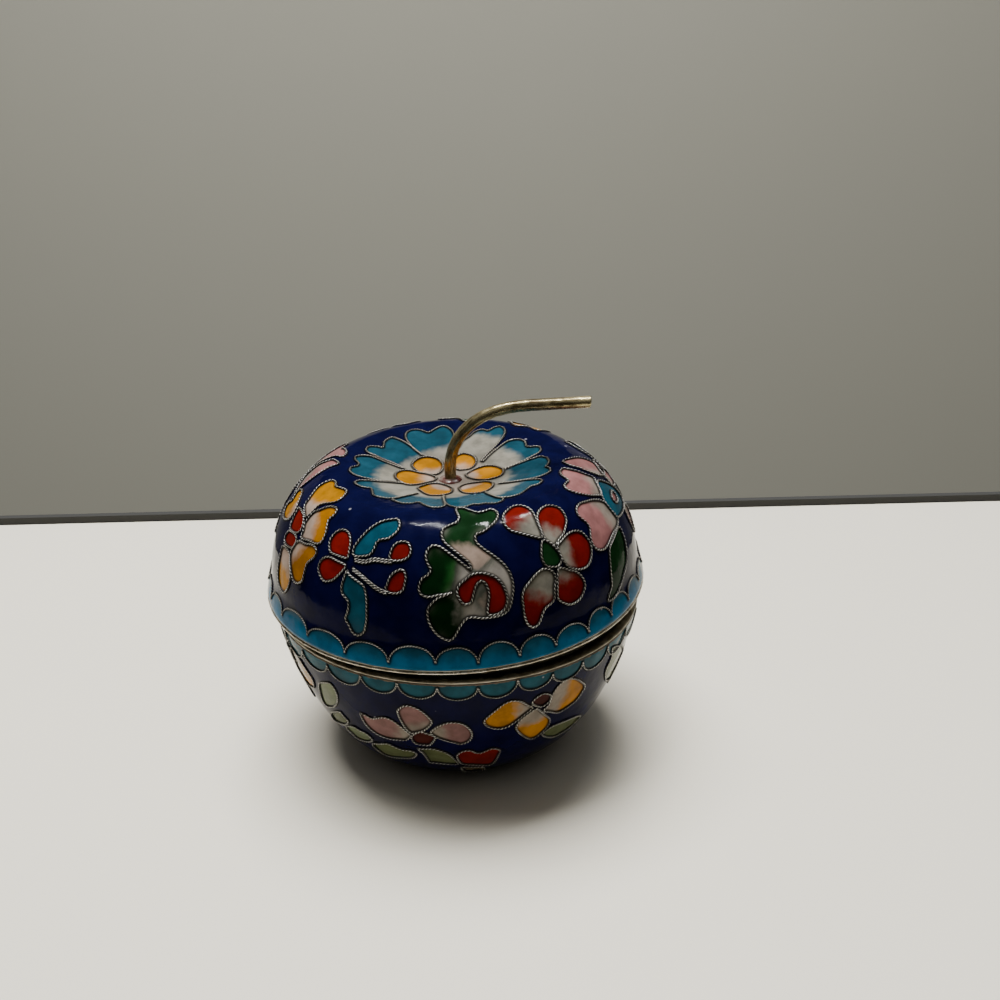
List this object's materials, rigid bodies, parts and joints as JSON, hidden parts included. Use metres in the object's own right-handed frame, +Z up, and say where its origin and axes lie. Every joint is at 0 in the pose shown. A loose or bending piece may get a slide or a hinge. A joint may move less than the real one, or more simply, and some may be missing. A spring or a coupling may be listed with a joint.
{
  "type": "cloisonne enamel box",
  "caption": "Apple-shaped round trinket box: a hollow enamelled bowl and a lift-off dished lid with brass rims, raised wire flowers and a bent wire stem.",
  "frame": {"origin": "centre of the flat underside of the bowl", "axes": "+Z up through the stem's foot, -Y the front that the picture shows, +X the side that the stem leans to"},
  "size_m": [0.0664, 0.0661, 0.0628],
  "materials": {
    "blue_enamel": "glossy fired enamel, slightly pitted",
    "brass": "dull, tarnished",
    "gilt_wire": "worn gilding on twisted wire",
    "turquoise_enamel": "glossy fired enamel",
    "red_enamel": "glossy fired enamel",
    "yellow_enamel": "glossy fired enamel shading to white",
    "pink_enamel": "glossy fired enamel shading to white",
    "green_enamel": "glossy fired enamel",
    "pale_enamel": "glossy fired enamel, off-white"
  },
  "bodies": {
    "root": {"bowl_body": "blue_enamel", "lid_body": "blue_enamel", "bowl_rim": "brass", "inner_collar": "brass", "lid_rim": "brass", "stem": "brass", "lid_scallop_wire": "gilt_wire", "bowl_scallop_wire": "gilt_wire", "top_flower_wire": "gilt_wire", "top_rosette_wire": "gilt_wire", "lid_yellow_flower_wire": "gilt_wire", "lid_sprig_wire": "gilt_wire", "lid_red_flower_wire": "gilt_wire", "lid_pink_flower_wire": "gilt_wire", "lid_back_sprig_wire": "gilt_wire", "lid_back_yellow_flower_wire": "gilt_wire", "lid_back_red_flower_wire": "gilt_wire", "lid_left_pink_flower_wire": "gilt_wire", "lid_green_leaf_wire": "gilt_wire", "lid_green_leaf_tip_wire": "gilt_wire", "lid_red_bud_wire": "gilt_wire", "lid_right_leaf_wire": "gilt_wire", "lid_back_leaf_wire": "gilt_wire", "lid_left_leaf_wire": "gilt_wire", "bowl_pink_flower_wire": "gilt_wire", "bowl_yellow_flower_wire": "gilt_wire", "bowl_right_pink_flower_wire": "gilt_wire", "bowl_right_yellow_flower_wire": "gilt_wire", "bowl_back_pink_flower_wire": "gilt_wire", "bowl_back_yellow_flower_wire": "gilt_wire", "bowl_left_pink_flower_wire": "gilt_wire", "bowl_left_yellow_flower_wire": "gilt_wire", "bowl_first_leaf_wire": "gilt_wire", "bowl_second_leaf_wire": "gilt_wire", "bowl_red_bud_wire": "gilt_wire", "bowl_third_leaf_wire": "gilt_wire", "bowl_right_leaf_wire": "gilt_wire", "bowl_back_leaf_wire": "gilt_wire", "bowl_back_bud_wire": "gilt_wire", "bowl_left_leaf_wire": "gilt_wire", "bowl_left_bud_wire": "gilt_wire"}
  },
  "joints": []
}
